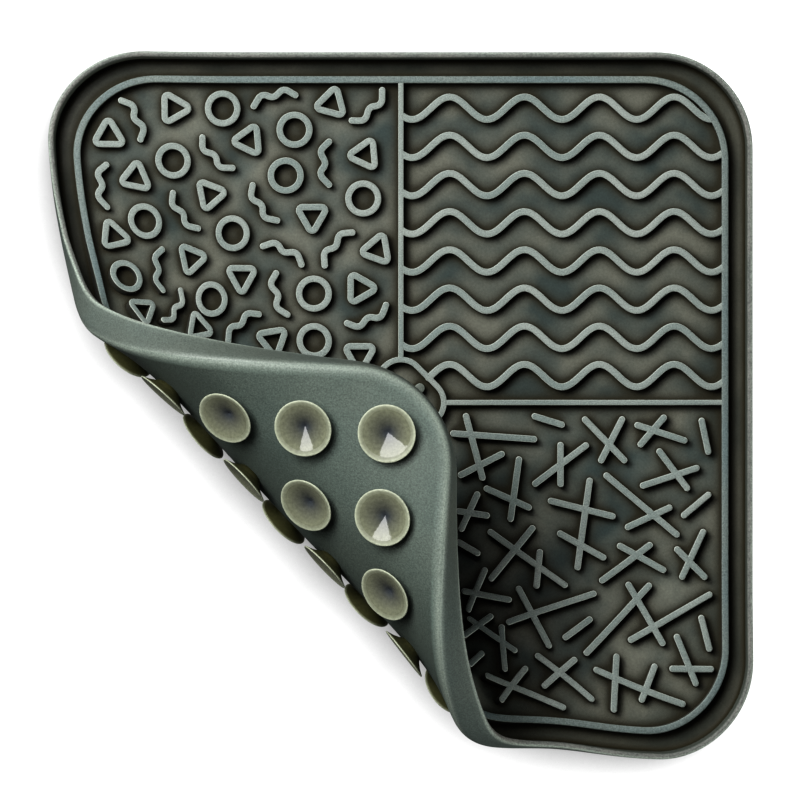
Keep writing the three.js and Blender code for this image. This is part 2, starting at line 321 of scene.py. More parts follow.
def mix_colours(tree, share, first, second):
    node = put(tree, "ShaderNodeMix", {"data_type": "RGBA"}, Factor=share, A=first, B=second)
    return next(socket for socket in node.outputs if socket.enabled)


# %% [markdown]
# The skin of the silicone
# Moulded silicone is one colour all through, but it never looks flat. The mould was blasted, so
# there is a fine grain. Soft random patches of another colour and gloss lie over it, and on the
# floor they are painted reflection and shade. Rounded edges get a painted highlight, and steep
# walls get painted shade and stay matt. One shared node group makes all of this from the place
# on the object and from one number that the pieces carry in an attribute: 1 is a full painted
# highlight, 0 is plain skin, and -0.8 or less is full painted shade. Painting it into an image
# would need a flat layout of every ridge. The group puts out a colour, a roughness and a
# normal, and each finish keeps its own Principled shader.

# %% A shared group for patches, grain, painted highlights and painted shade
# The number at which the painted shade is full, and how much more matt a fully shaded wall gets.
FULL_SHADE = -0.8
WALL_MATTNESS = 0.45
GLOSS_DRIFT = 0.08
GRAIN_HEIGHT = 0.0004

skin, ask, answer = new_tree(
    "silicone_skin",
    "ShaderNodeTree",
    [
        ("Place", "NodeSocketVector", (0, 0, 0)),
        ("Main colour", "NodeSocketColor", (0.1, 0.12, 0.1, 1)),
        ("Patch colour", "NodeSocketColor", (0.1, 0.12, 0.1, 1)),
        ("Patch scale", "NodeSocketFloat", 60.0),
        ("Patch share", "NodeSocketFloat", 0.5),
        ("Speckle", "NodeSocketFloat", 0.15),
        ("Grain scale", "NodeSocketFloat", 2500.0),
        ("Grain depth", "NodeSocketFloat", 0.1),
        ("Roughness", "NodeSocketFloat", 0.5),
        ("Wear", "NodeSocketFloat", 0.0),
        ("Worn colour", "NodeSocketColor", (0.2, 0.23, 0.2, 1)),
        ("Wall colour", "NodeSocketColor", (0.022, 0.022, 0.017, 1)),
    ],
    [
        ("Colour", "NodeSocketColor"),
        ("Roughness", "NodeSocketFloat"),
        ("Normal", "NodeSocketVector"),
    ],
)
patches = noise(skin, ask["Place"], ask["Patch scale"], 3, 0.45)
patch_share = maths(skin, "MULTIPLY", ramp_range(skin, patches, 0.36, 0.66), ask["Patch share"])
drifted = mix_colours(skin, patch_share, ask["Main colour"], ask["Patch colour"])
# Painted highlight: a positive number mixes in the highlight colour, more in some patches than in
# others.
highlight_spread = ramp_range(skin, patches, 0.3, 0.6, 0.55, 1.0)
highlight_share = maths(skin, "MULTIPLY", ask["Wear"], highlight_spread, use_clamp=True)
highlighted = mix_colours(skin, highlight_share, drifted, ask["Worn colour"])
# Painted shade: a negative number mixes in the shade colour, fully at -0.8, and makes the surface
# more matt.
shade_share = ramp_range(skin, ask["Wear"], FULL_SHADE, 0.0, 1.0, 0.0)
shaded = mix_colours(skin, shade_share, highlighted, ask["Wall colour"])
grain = noise(skin, ask["Place"], ask["Grain scale"], 2, 0.6)
specks = ramp_range(skin, grain, 0.3, 0.72, -1.0, 1.0)
speckle = maths(skin, "MULTIPLY_ADD", specks, ask["Speckle"], 1.0)
speckled = put(skin, "ShaderNodeVectorMath", {"operation": "SCALE"}, Vector=shaded, Scale=speckle)
gloss = ramp_range(skin, patches, 0.3, 0.7, -GLOSS_DRIFT, GLOSS_DRIFT)
gloss = maths(skin, "ADD", gloss, ask["Roughness"])
matt = maths(skin, "MULTIPLY_ADD", shade_share, WALL_MATTNESS, gloss, use_clamp=True)
bump = put(skin, "ShaderNodeBump", Distance=GRAIN_HEIGHT, Height=grain, Strength=ask["Grain depth"])
skin.links.new(speckled.outputs[0], answer["Colour"])
skin.links.new(matt, answer["Roughness"])
skin.links.new(bump.outputs["Normal"], answer["Normal"])
print("group", skin.name, "with", len(skin.nodes), "nodes")

# %% [markdown]
# The finishes
# The same silicone shows six faces on the tray and its ridges. The floor is smooth and dark,
# with bluish patches of painted reflection and shade. The tops of the ridges are matt and paler.
# The edge ridge, the rim's wall and the rim's top lie between them, and the back has an even
# blasted grain. One material with masks could hold them all, but six small ones are easier to
# change. The floor also gets painted shade close to a wall: an Ambient Occlusion node tells how
# close.

# %% A maker of finishes
AO_SAMPLES = 16
AO_FULL_SHADE = 0.55


def new_finish(name, specular=0.5):
    """A material, its node tree and its Principled shader."""
    material = bpy.data.materials.new(name)
    material.use_nodes = True
    principled = material.node_tree.nodes["Principled BSDF"]
    principled.inputs["Specular IOR Level"].default_value = specular
    return material, material.node_tree, principled


def silicone(name, values, specular=0.5, moved=(0, 0, 0), shade_near_walls=None):
    """A finish. The last argument, if given, is how far the painted shade beside a wall reaches, in
    metres, and how deep it goes.
    """
    material, tree, principled = new_finish(name, specular)
    place = put(tree, "ShaderNodeTexCoord").outputs["Object"]
    place = put(tree, "ShaderNodeMapping", Vector=place, Location=moved).outputs["Vector"]
    wear = put(tree, "ShaderNodeAttribute", {"attribute_name": "wear"}).outputs["Fac"]
    # Painted shade beside walls: where the Ambient Occlusion node finds a wall close, a negative
    # number is added.
    if shade_near_walls:
        reach, deepest_shade = shade_near_walls
        near = put(tree, "ShaderNodeAmbientOcclusion", {"samples": AO_SAMPLES}, Distance=reach)
        near_wall_shade = ramp_range(tree, near.outputs["AO"], AO_FULL_SHADE, 1.0, deepest_shade, 0.0)
        wear = maths(tree, "ADD", wear, near_wall_shade)
    group = put(tree, "ShaderNodeGroup", {"node_tree": skin}, Place=place, Wear=wear, **values)
    tree.links.new(group.outputs["Colour"], principled.inputs["Base Color"])
    for title in ("Roughness", "Normal"):
        tree.links.new(group.outputs[title], principled.inputs[title])
    print("finish", name)
    return material


# %% The finishes of the tray and the ridges
# On the floor the bluish patch colour is painted reflection and shade, and the dark shade colour is
# painted shade beside walls.
floor_finish = silicone(
    "silicone_floor",
    {
        "Main colour": (0.136, 0.141, 0.118, 1),
        "Patch colour": (0.030, 0.048, 0.049, 1),
        "Worn colour": (0.136, 0.141, 0.118, 1),
        "Wall colour": (0.018, 0.0165, 0.010, 1),
        "Patch scale": 60.0,
        "Patch share": 0.95,
        "Speckle": 0.12,
        "Grain scale": 1500.0,
        "Grain depth": 0.05,
        "Roughness": 0.24,
    },
    specular=0.22,
    moved=(0.2, 0.2, 0),
    shade_near_walls=(0.008, -0.8),
)
# On the ridges the pale highlight colour is a painted highlight on the rounded edges, and the
# default shade colour is painted shade on the walls.
ridge_finish = silicone(
    "silicone_ridge_tops",
    {
        "Main colour": (0.158, 0.176, 0.161, 1),
        "Patch colour": (0.098, 0.122, 0.114, 1),
        "Worn colour": (0.350, 0.375, 0.335, 1),
        "Patch scale": 40.0,
        "Patch share": 0.8,
        "Speckle": 0.3,
        "Grain scale": 2800.0,
        "Grain depth": 0.3,
        "Roughness": 0.62,
    },
)
# On the rim's wall the default highlight colour is a painted highlight along the lip's outer edge,
# and the dark shade colour is painted shade on the inner wall.
rim_finish = silicone(
    "silicone_rim",
    {
        "Main colour": (0.074, 0.084, 0.072, 1),
        "Patch colour": (0.062, 0.078, 0.071, 1),
        "Wall colour": (0.030, 0.030, 0.022, 1),
        "Patch scale": 30.0,
        "Patch share": 0.8,
        "Speckle": 0.3,
        "Grain scale": 2200.0,
        "Grain depth": 0.2,
        "Roughness": 0.45,
    },
)
# On the edge ridge the highlight colour is a painted highlight on its rounded edges, and the
# default shade colour is painted shade on its walls.
edge_ridge_finish = silicone(
    "silicone_edge_ridge",
    {
        "Main colour": (0.098, 0.115, 0.105, 1),
        "Patch colour": (0.074, 0.098, 0.098, 1),
        "Worn colour": (0.150, 0.170, 0.150, 1),
        "Patch scale": 35.0,
        "Patch share": 0.9,
        "Speckle": 0.35,
        "Grain scale": 2200.0,
        "Grain depth": 0.3,
        "Roughness": 0.6,
    },
)
# On the rim's top the default highlight colour is a painted highlight along its outer edge.
lip_finish = silicone(
    "silicone_rim_top",
    {
        "Main colour": (0.105, 0.106, 0.096, 1),
        "Patch colour": (0.070, 0.077, 0.070, 1),
        "Patch scale": 70.0,
        "Patch share": 0.9,
        "Speckle": 0.4,
        "Grain scale": 2000.0,
        "Grain depth": 0.35,
        "Roughness": 0.6,
    },
)
# On the back the highlight colour is a painted highlight along the crease, and the shade colour is
# painted shade where the sheet bends over.
back_finish = silicone(
    "silicone_back",
    {
        "Main colour": (0.080, 0.099, 0.085, 1),
        "Patch colour": (0.066, 0.088, 0.078, 1),
        "Worn colour": (0.160, 0.185, 0.160, 1),
        "Wall colour": (0.026, 0.033, 0.027, 1),
        "Patch scale": 45.0,
        "Patch share": 0.8,
        "Speckle": 0.3,
        "Grain scale": 2200.0,
        "Grain depth": 0.3,
        "Roughness": 0.58,
    },
)

# %% [markdown]
# The tray
# The floor and the rim are one sheet. It could be a solid cut out of a block, but a lofted mesh
# is better for bending: rings of points follow the outline, one ring for each point of the
# wall's section, so the mesh is even and every edge of the wall can be rounded. Inside the wall,
# rings shrink towards the middle on the top and on the back. Each row of the section also says
# which finish its band has, and how much painted light it gets: a painted highlight along the
# crease of the back and the edge of the lip, and painted shade on the inner wall and the groove.

# %% The wall's section
TOP, UNDER, WALL, LIP = range(4)
TRAY_FINISHES = (floor_finish, back_finish, rim_finish, lip_finish)
SECTION = [
    # inset from the outline, height above the back, finish, painted light: above 0 a highlight,
    # below 0 shade
    (13.0, 0.0, UNDER, 0),
    (11.0, 0.0, UNDER, 0),
    (9.0, 0.0, UNDER, 0),
    (7.0, 0.0, UNDER, 0),
    (5.4, 0.0, UNDER, 0),
    (4.0, 0.0, UNDER, 0),
    # painted highlight along the crease between the back and the outer wall
    (2.9, 0.03, UNDER, 0.15),
    (2.0, 0.18, UNDER, 0.5),
    (1.3, 0.48, UNDER, 1.0),
    (0.75, 0.9, UNDER, 0.7),
    (0.35, 1.45, WALL, 0.2),
    (0.1, 2.1, WALL, 0),
    (0.0, 2.9, WALL, 0),
    (0.05, 4.6, WALL, 0),
    (0.12, 6.4, WALL, 0),
    # painted highlight along the outer edge of the lip
    (0.2, 7.9, WALL, 0.1),
    (0.26, 8.5, WALL, 0.8),
    (0.38, 8.82, LIP, 1.0),
    (0.6, 8.97, LIP, 0.6),
    (1.0, 9.0, LIP, 0),
    (1.4, 8.97, LIP, 0),
    (1.64, 8.82, LIP, 0),
    (1.78, 8.5, LIP, 0),
    # painted shade on the inner wall and in the groove
    (1.86, 7.6, WALL, -0.4),
    (1.95, 5.8, WALL, -0.4),
    (2.05, 4.0, WALL, -0.4),
    (2.2, 2.9, TOP, -0.4),
    (2.5, 2.35, TOP, -0.25),
    (3.0, 2.07, TOP, -0.05),
    (3.8, 2.0, TOP, 0.12),
    (5.4, 2.0, TOP, 0.1),
    (7.0, 2.0, TOP, -0.1),
    (9.0, 2.0, TOP, 0),
    (11.0, 2.0, TOP, 0),
    (13.0, 2.0, TOP, 0),
]
print("the section has", len(SECTION), "points, up to", max(row[1] for row in SECTION), "mm")

# %% The outline
EDGE_STEP = 1.5


def towards(angle):
    return np.array([math.cos(angle), math.sin(angle)])


def outline(half, corner, step):
    """Points and outward directions round a square with round corners."""
    places, normals = [], []
    inset = half - corner
    straight = max(1, round(2 * inset / step))
    turns = max(2, round(math.pi / 2 * corner / step))
    for quarter in range(4):
        angle = quarter * math.pi / 2
        centre = towards(angle + math.pi / 4) * inset * math.sqrt(2)
        for i in range(turns):
            normal = towards(angle + math.pi / 2 * i / turns)
            places.append(centre + normal * corner)
            normals.append(normal)
        normal = towards(angle + math.pi / 2)
        run = np.array([-normal[1], normal[0]])
        for i in range(straight):
            places.append(centre + normal * corner + run * 2 * inset * i / straight)
            normals.append(normal)
    return np.array(places), np.array(normals)


edge, edge_normals = outline(HALF, CORNER, EDGE_STEP)
print("the outline has", len(edge), "points")

# %% The tray's rings, from the middle of the back round the rim to the middle of the floor
INNER_RINGS = 41
SMALLEST_RING = 0.02


def level_ring(places, height):
    return np.column_stack([places, np.full(len(edge), float(height))])


inner = edge - edge_normals * SECTION[0][0]
shares = np.linspace(SMALLEST_RING, 1, INNER_RINGS + 1)[:-1]
rings = [level_ring(inner * share, 0) for share in shares]
rings += [level_ring(edge - edge_normals * inset, height) for inset, height, _, _ in SECTION]
rings += [level_ring(inner * share, FLOOR) for share in shares[::-1]]
ring_finishes = [UNDER] * INNER_RINGS + [row[2] for row in SECTION] + [TOP] * INNER_RINGS
ring_painted_light = [0] * INNER_RINGS + [row[3] for row in SECTION] + [0] * INNER_RINGS
print("the tray has", len(rings), "rings")

# %% The tray's mesh
def tray_mesh():
    count = len(edge)
    places = [tuple(point) for ring in rings for point in ring]
    faces, finishes = [], []
    for ring in range(len(rings) - 1):
        for i in range(count):
            a, b = ring * count + i, ring * count + (i + 1) % count
            faces.append((a, a + count, b + count, b))
            finishes.append(ring_finishes[ring + 1])
    for ring, height, finish in ((0, 0.0, UNDER), (len(rings) - 1, FLOOR, TOP)):
        middle = len(places)
        places.append((0.0, 0.0, height))
        for i in range(count):
            a, b = ring * count + i, ring * count + (i + 1) % count
            faces.append((middle, a, b) if ring == 0 else (middle, b, a))
            finishes.append(finish)
    mesh = bpy.data.meshes.new("tray")
    mesh.from_pydata(places, [], faces)
    face_outwards(mesh)
    mesh.polygons.foreach_set("material_index", finishes)
    mesh.polygons.foreach_set("use_smooth", [True] * len(faces))
    for finish in TRAY_FINISHES:
        mesh.materials.append(finish)
    return mesh


tray_flat = tray_mesh()
print("the flat tray has", len(tray_flat.polygons), "faces")

# %% [markdown]
# Painted light on the tray
# The painted light of each ring comes from the section. The back needs a second rule: on the
# outside of the bend it gets painted shade, until it has turned right over. It could be painted
# by hand, but the curl already knows how far each point has turned.

# %% The tray's painted light, and the curled tray
PLAIN_BACK = -0.1
BEND_SHADE = -0.385
TURNED_OVER = 0.985
TURNING = 0.33
STILL_LEVEL = -0.6


def set_numbers(mesh, name, values):
    mesh.attributes.new(name, "FLOAT", "POINT").data.foreach_set("value", values)


flat = points_of(tray_flat)
wear = np.zeros(len(flat))
wear[: len(ring_painted_light) * len(edge)] = np.repeat(ring_painted_light, len(edge))
back_up = -directions(flat[:, 0], flat[:, 1])[1][:, 2]
# Painted shade on the back where the sheet has turned by more than about 53 degrees, fading out as
# it comes right over.
bend_shade = np.clip((TURNED_OVER - back_up) / TURNING, 0, 1) * (back_up > STILL_LEVEL)
plain_back = (wear == 0) & (flat[:, 2] == 0)
wear[plain_back] = PLAIN_BACK + BEND_SHADE * bend_shade[plain_back]
set_numbers(tray_flat, "wear", wear)
curl_mesh(tray_flat)
tray = add_piece("tray", tray_flat)

# %% [markdown]
# The ridges
# Rings, triangles, squiggles, sticks, waves and the long straight ridges are all the same thing
# on the mould: a slot of one width and depth, cut along a line. So one Geometry Nodes tree makes
# them all. It puts a copy of a line on each point, turns and stretches it, rounds its corners,
# lets it wave if asked, and sweeps a section with rounded edges along it. Open lines get a round
# button on each end. The result is made a plain mesh, so that it can be curled like the tray.

# %% The inputs of the ridge tree
EDGE_RADIUS = 0.35
ROOT = 0.8

ridge_tree, ask, answer = new_tree(
    "ridges_on_lines",
    "GeometryNodeTree",
    [
        ("Geometry", "NodeSocketGeometry", None),
        ("Line", "NodeSocketObject", None),
        ("Button", "NodeSocketObject", None),
        ("Width", "NodeSocketFloat", 1.85),
        ("Height", "NodeSocketFloat", 2.8),
        ("Root", "NodeSocketFloat", ROOT),
        ("Edge radius", "NodeSocketFloat", EDGE_RADIUS),
        ("Bend radius", "NodeSocketFloat", 0.0),
        ("Step", "NodeSocketFloat", 0.7),
        ("Swing", "NodeSocketFloat", 0.0),
        ("Wave length", "NodeSocketFloat", 20.0),
        ("Crest", "NodeSocketFloat", 0.0),
        ("Finish", "NodeSocketMaterial", None),
    ],
    [("Geometry", "NodeSocketGeometry")],
)
add = functools.partial(put, ridge_tree)
sums = functools.partial(maths, ridge_tree)
print("tree", ridge_tree.name, "asks for", len(ask) - 1, "things")

# %% Copies of the line, with round corners and waves
line = add("GeometryNodeObjectInfo", Object=ask["Line"])
turn = add("GeometryNodeInputNamedAttribute", {"data_type": "FLOAT"}, Name="turn")
stretch = add("GeometryNodeInputNamedAttribute", {"data_type": "FLOAT"}, Name="stretch")
heading = add("ShaderNodeCombineXYZ", Z=turn.outputs[0])
growth = add("ShaderNodeCombineXYZ", X=stretch.outputs[0], Y=1.0, Z=1.0)
copies = add(
    "GeometryNodeInstanceOnPoints",
    Points=ask["Geometry"],
    Instance=line.outputs["Geometry"],
    Rotation=heading.outputs[0],
    Scale=growth.outputs[0],
)
laid = add("GeometryNodeRealizeInstances", Geometry=copies.outputs[0])
curve = add("GeometryNodeMeshToCurve", Mesh=laid.outputs[0])
rounded = add(
    "GeometryNodeFilletCurve",
    {"mode": "POLY"},
    Curve=curve.outputs[0],
    Count=6,
    Radius=ask["Bend radius"],
    Limit_Radius=True,
)
even = add(
    "GeometryNodeResampleCurve",
    {"mode": "LENGTH"},
    Curve=rounded.outputs[0],
    Length=ask["Step"],
)
here = add("GeometryNodeInputPosition")
split = add("ShaderNodeSeparateXYZ", Vector=here.outputs[0])
phase = sums("SUBTRACT", split.outputs["X"], ask["Crest"])
phase = sums("DIVIDE", phase, ask["Wave length"])
swung = sums("COSINE", sums("MULTIPLY", phase, 2 * math.pi))
shift = add("ShaderNodeCombineXYZ", Y=sums("MULTIPLY", swung, ask["Swing"]))
waved = add("GeometryNodeSetPosition", Geometry=even.outputs[0], Offset=shift.outputs[0])
upright = add("GeometryNodeSetCurveNormal", {"mode": "Z_UP"}, Curve=waved.outputs[0])
print("lines made with", len(ridge_tree.nodes), "nodes")

# %% The section swept along them, and buttons on open ends
depth = sums("ADD", ask["Height"], ask["Root"])
block = add("GeometryNodeCurvePrimitiveQuadrilateral", Width=ask["Width"], Height=depth)
# The section's own Y axis comes out pointing down along the line, so it is lifted by a minus.
lift = sums("MULTIPLY", sums("SUBTRACT", ask["Height"], ask["Root"]), -0.5)
raised = add("ShaderNodeCombineXYZ", Y=lift)
stood = add("GeometryNodeTransform", Geometry=block.outputs[0], Translation=raised.outputs[0])
section = add(
    "GeometryNodeFilletCurve",
    {"mode": "POLY"},
    Curve=stood.outputs[0],
    Count=3,
    Radius=ask["Edge radius"],
)
swept = add(
    "GeometryNodeCurveToMesh",
    Curve=upright.outputs[0],
    Profile_Curve=section.outputs[0],
    Fill_Caps=True,
)
ends = add("GeometryNodeCurveEndpointSelection", Start_Size=1, End_Size=1)
closed = add("GeometryNodeInputSplineCyclic")
logic = functools.partial(sums, kind="FunctionNodeBooleanMath")
open_end = logic("AND", ends.outputs[0], logic("NOT", closed.outputs[0]))
button = add("GeometryNodeObjectInfo", Object=ask["Button"])
buttons = add(
    "GeometryNodeInstanceOnPoints",
    Points=upright.outputs[0],
    Selection=open_end,
    Instance=button.outputs["Geometry"],
)
together = add("GeometryNodeJoinGeometry")
for part in (swept, buttons):
    ridge_tree.links.new(part.outputs[0], together.inputs[0])
whole = add("GeometryNodeRealizeInstances", Geometry=together.outputs[0])
smooth = add("GeometryNodeSetShadeSmooth", Geometry=whole.outputs[0], Shade_Smooth=True)
finished = add("GeometryNodeSetMaterial", Geometry=smooth.outputs[0], Material=ask["Finish"])
ridge_tree.links.new(finished.outputs[0], answer["Geometry"])
print("tree", ridge_tree.name, "with", len(ridge_tree.nodes), "nodes")

# %% [markdown]
# Lines, buttons and points
# The tree is given three things: a line of edges, a round button as wide as the ridge, and the
# points that carry the copies. None of them is kept. Ridges that cross would share their flat
# tops, and shared faces flicker, so each copy stands a hair higher than the one before. After
# the tree has run, a point's depth below the top tells its painted light: the rounded edges get
# a painted highlight, and the walls get painted shade.

# %% Helpers for lines and buttons
BUTTON_SIDES = 20
NARROWER, LOWER = 0.01, 0.015


def add_helper(name, mesh):
    helper = bpy.data.objects.new(name, mesh)
    scene_objects.link(helper)
    return helper


def line_of(places, closed=False):
    mesh = bpy.data.meshes.new("line")
    edges = [(i, i + 1) for i in range(len(places) - 1)]
    if closed:
        edges.append((len(places) - 1, 0))
    mesh.from_pydata([(x, y, 0.0) for x, y in places], edges, [])
    return add_helper("line", mesh)


def unit_line():
    return line_of([(-0.5, 0), (0.5, 0)])


def lathe(profile, sides):
    """A closed solid turned about Z from (radius, height) points that start and end on the axis."""
    places, rings = [], []
    for radius, height in profile:
        ring = []
        for i in range(sides if radius > 0 else 1):
            x, y = towards(2 * math.pi * i / sides) * radius
            ring.append(len(places))
            places.append((x, y, height))
        rings.append(ring)
    faces = []
    for low, high in zip(rings, rings[1:]):
        for i in range(sides):
            a, b = low[i % len(low)], low[(i + 1) % len(low)]
            c, d = high[(i + 1) % len(high)], high[i % len(high)]
            corners = [a, b, c, d]
            faces.append([v for k, v in enumerate(corners) if v not in corners[:k]])
    mesh = bpy.data.meshes.new("lathe")
    mesh.from_pydata(places, [], faces)
    face_outwards(mesh)
    return mesh


def button_of(width, height):
    """A hair lower and narrower than the ridge, so that no two faces share a plane."""
    radius, top = width / 2 - NARROWER, height - LOWER
    profile = [(0, -ROOT), (radius, -ROOT)]
    for i in range(5):
        out, up = towards(math.pi / 8 * i) * EDGE_RADIUS
        profile.append((radius - EDGE_RADIUS + out, top - EDGE_RADIUS + up))
    profile.append((0, top))
    return add_helper("button", lathe(profile, BUTTON_SIDES))


# %% Helpers for points, and the maker of ridges
HAIR, HAIR_STEPS = 0.006, 9
TOP_BAND = 0.06
HIGHLIGHT_SHARE = 0.8


def points_at(rows):
    """Points that carry a turn and a stretch, for rows of x, y, degrees and stretch."""
    mesh = bpy.data.meshes.new("points")
    places = [(x, y, FLOOR + HAIR * (i % HAIR_STEPS)) for i, (x, y, _, _) in enumerate(rows)]
    mesh.from_pydata(places, [], [])
    set_numbers(mesh, "turn", [math.radians(row[2]) for row in rows])
    set_numbers(mesh, "stretch", [row[3] for row in rows])
    return add_helper("points", mesh)


def applied(piece, tree, values):
    """Runs a tree on a helper, and gives its result as a plain mesh."""
    modifier = piece.modifiers.new(tree.name, "NODES")
    modifier.node_group = tree
    sockets = {s.name: s.identifier for s in tree.interface.items_tree if s.in_out == "INPUT"}
    for title, value in values.items():
        modifier[sockets[title]] = value
    bpy.context.view_layer.update()
    evaluated = piece.evaluated_get(bpy.context.evaluated_depsgraph_get())
    mesh = bpy.data.meshes.new_from_object(evaluated)
    piece.modifiers.remove(modifier)
    return mesh


def ridges(name, rows, line, width, height, **more):
    carrier, button = points_at(rows), button_of(width, height)
    values = {"Line": line, "Button": button, "Width": width, "Height": height}
    values["Finish"] = ridge_finish
    values.update({title.replace("_", " "): value for title, value in more.items()})
    mesh = applied(carrier, ridge_tree, values)
    face_outwards(mesh)
    for helper in (carrier, button, line):
        bpy.data.objects.remove(helper)
    # Painted light by depth below the top: a painted highlight on the rounded edges, painted shade
    # on the walls, none on the tops.
    below_top = FLOOR + height - points_of(mesh)[:, 2]
    highlight_depth = HIGHLIGHT_SHARE * values.get("Edge radius", EDGE_RADIUS)
    side_painted_light = np.where(below_top < highlight_depth, 1.0, -1.0)
    set_numbers(mesh, "wear", np.where(below_top < TOP_BAND, 0.0, side_painted_light))
    curl_mesh(mesh)
    piece = add_piece(name, mesh)
    return piece


# %% [markdown]
# Rings, triangles and squiggles
# The far left field mixes three motifs. A random scatter would let them touch, and it would never
# look like this one, so the places and turns were read off the photograph and are listed.
# A triangle is sharp inside and round outside: its middle line is therefore rounded by just half
# of the ridge's width.

# %% The far left field
CIRCLE_RADIUS = 4.225
TRIANGLE_RADIUS = 5.1
CIRCLES = [
    (-50.5, 84), (-30, 78), (-65, 69), (-32.5, 65), (-10.5, 58.5), (-74.5, 51.5),
    (-48, 48.5), (-83, 34.5), (-24.5, 31.5), (-55, 29.5), (-24.5, 18),
]
TRIANGLES = [
    (-83, 76, 90), (-64.5, 84, 0), (-19.5, 85.5, 75), (-43, 75, 65), (-10, 71, 65),
    (-76, 64, 80), (-54.5, 59.5, 10), (-25, 53.5, -90), (-84.5, 47, 105), (-6.5, 44, 70),
    (-61, 41, 10), (-45.5, 36, -90), (-11.5, 33, 0), (-79, 24, 155), (-59.5, 21, 105),
    (-36.5, 18, 40), (-11.5, 14, 150),
]
SQUIGGLES = [
    (-75.5, 81, -65), (-36, 87.5, 15), (-8.5, 84, -135), (-86, 61.5, 85), (-53, 70.5, 135),
    (-21.5, 68.5, 90), (-63, 54, 125), (-39.5, 56.5, 125), (-33, 43.5, -25), (-18.5, 45, 50),
    (-72, 37.5, 85), (-35, 31, 105), (-67.5, 26, -125), (-46, 22.5, 40), (-9, 24.5, -155),
]
SQUIGGLE_LINE = [(-6.1, -1.3), (-3, 1.7), (-0.1, -0.6), (3.4, 1.5), (6.1, -1.3)]


def regular(corners, radius):
    angles = [2 * math.pi * i / corners for i in range(corners)]
    return [tuple(towards(angle) * radius) for angle in angles]


circle_line = line_of(regular(48, CIRCLE_RADIUS), True)
triangle_line = line_of(regular(3, TRIANGLE_RADIUS), True)
squiggle_line = line_of(SQUIGGLE_LINE)
ridges("circles", [(x, y, 0, 1) for x, y in CIRCLES], circle_line, **STROKE, Step=0.6)
triangle_rows = [(x, y, turn, 1) for x, y, turn in TRIANGLES]
ridges("triangles", triangle_rows, triangle_line, **STROKE, Bend_radius=0.97, Step=0.4)
squiggle_rows = [(x, y, turn, 1) for x, y, turn in SQUIGGLES]
ridges("squiggles", squiggle_rows, squiggle_line, **STROKE, Bend_radius=1.9, Step=0.6)

# %% [markdown]
# Crossed sticks
# The near right field is filled with short straight sticks that cross. Each one is a stretched
# copy of the same line, and the tree rounds its ends. Their places too were read off the
# photograph.

# %% The near right field
STICKS = [
    # x, y, length, turn
    (21, -12, 18, 105), (26.5, -9, 23, 176), (23, -17, 13, 27), (42, -4.5, 8, 163),
    (58, -10, 16, 134), (60, -10, 13, 63), (74, -8, 14, 162), (71.5, -7.5, 10, 49),
    (86.5, -9, 9, 102), (77.5, -18.5, 13, 127), (76.5, -20.5, 16, 18), (45.5, -17, 11, 90),
    (45.5, -17, 18, 37), (32.5, -24, 17, 82), (30.5, -26.5, 13, 156), (19.5, -30.5, 11, 65),
    (20.5, -31, 8, 172), (19, -41, 6, 150), (52, -34, 25, 82), (51.5, -29.5, 18, 166),
    (51.5, -40, 14, 151), (68.5, -28.5, 26, 140), (70.5, -32, 13, 25), (84, -28.5, 9, 40),
    (83, -42.5, 14, 65), (82.5, -45, 11, 135), (64, -45, 17, 37), (68.5, -43.5, 14, 151),
    (36, -44, 26, 144), (31.5, -42.5, 19, 51), (39, -47, 10, 84), (21, -53.5, 13, 66),
    (24, -55, 13, 169), (37.5, -61.5, 19, 116), (42.5, -58.5, 26, 20), (50, -64.5, 9, 39),
    (69.5, -59.5, 19, 120), (61.5, -61.5, 27, 48), (76.5, -60.5, 26, 30), (86.5, -65, 9, 104),
    (81, -72.5, 14, 112), (82.5, -75, 11, 179), (25, -67, 16, 145), (20.5, -64.5, 11, 36),
    (28, -71, 13, 89), (18.5, -75, 6, 39), (33.5, -84, 25, 161), (30, -82, 13, 47),
    (46, -79, 19, 143), (44.5, -78, 12, 43), (67.5, -80.5, 26, 161), (60.5, -79.5, 15, 86),
    (70, -79, 10, 68),
]
stick_rows = [(x, y, turn, length) for x, y, length, turn in STICKS]
ridges("sticks", stick_rows, unit_line(), **STROKE, Step=1.5)

# %% [markdown]
# Waves
# Eight waves cross the far right field, all in step. Each is a straight line that the tree lets
# swing, so one set of sizes shapes all of them, and no curve is drawn. They end in the ridges on
# both sides, and the last one starts at the ring in the middle.

# %% The far right field
PAST_DIVIDER, PAST_RING = 0.2, 0.6


def wave_end(level):
    """Where a wave of this level meets the middle line of the edge ridge, corner and all."""
    x = np.linspace(60, EDGE_RIDGE["half"], 400)
    y = level + SWING["size"] * np.cos(2 * math.pi * (x - SWING["crest"]) / SWING["length"])
    corner_middle = EDGE_RIDGE["half"] - EDGE_RIDGE["corner"]
    over_x, over_y = np.maximum(x - corner_middle, 0), np.maximum(y - corner_middle, 0)
    return float(x[np.hypot(over_x, over_y) < EDGE_RIDGE["corner"]].max())


wave_rows = []
for row in range(WAVE["rows"]):
    level = WAVE["first"] - row * WAVE["pitch"]
    left, right = DIVIDER["x"] + PAST_DIVIDER, wave_end(level)
    if row == WAVE["rows"] - 1:
        left = RING["half"] * math.sqrt(0.5) + PAST_RING
    wave_rows.append(((left + right) / 2, level, 0, right - left))
ridges(
    "waves",
    wave_rows,
    unit_line(),
    WAVE["width"],
    WAVE["height"],
    Step=0.8,
    Swing=SWING["size"],
    Wave_length=SWING["length"],
    Crest=SWING["crest"],
)

# %% [markdown]
# The ridges that divide the tray
# A straight ridge separates each pair of fields, a ring on its point sits in the middle, and one
# ridge runs round all four fields just inside the rim. They could be part of the tray's own
# mesh, but then its rings would have to follow them. Under the curl the pattern of the fourth
# field can't be seen, so its floor is left plain.

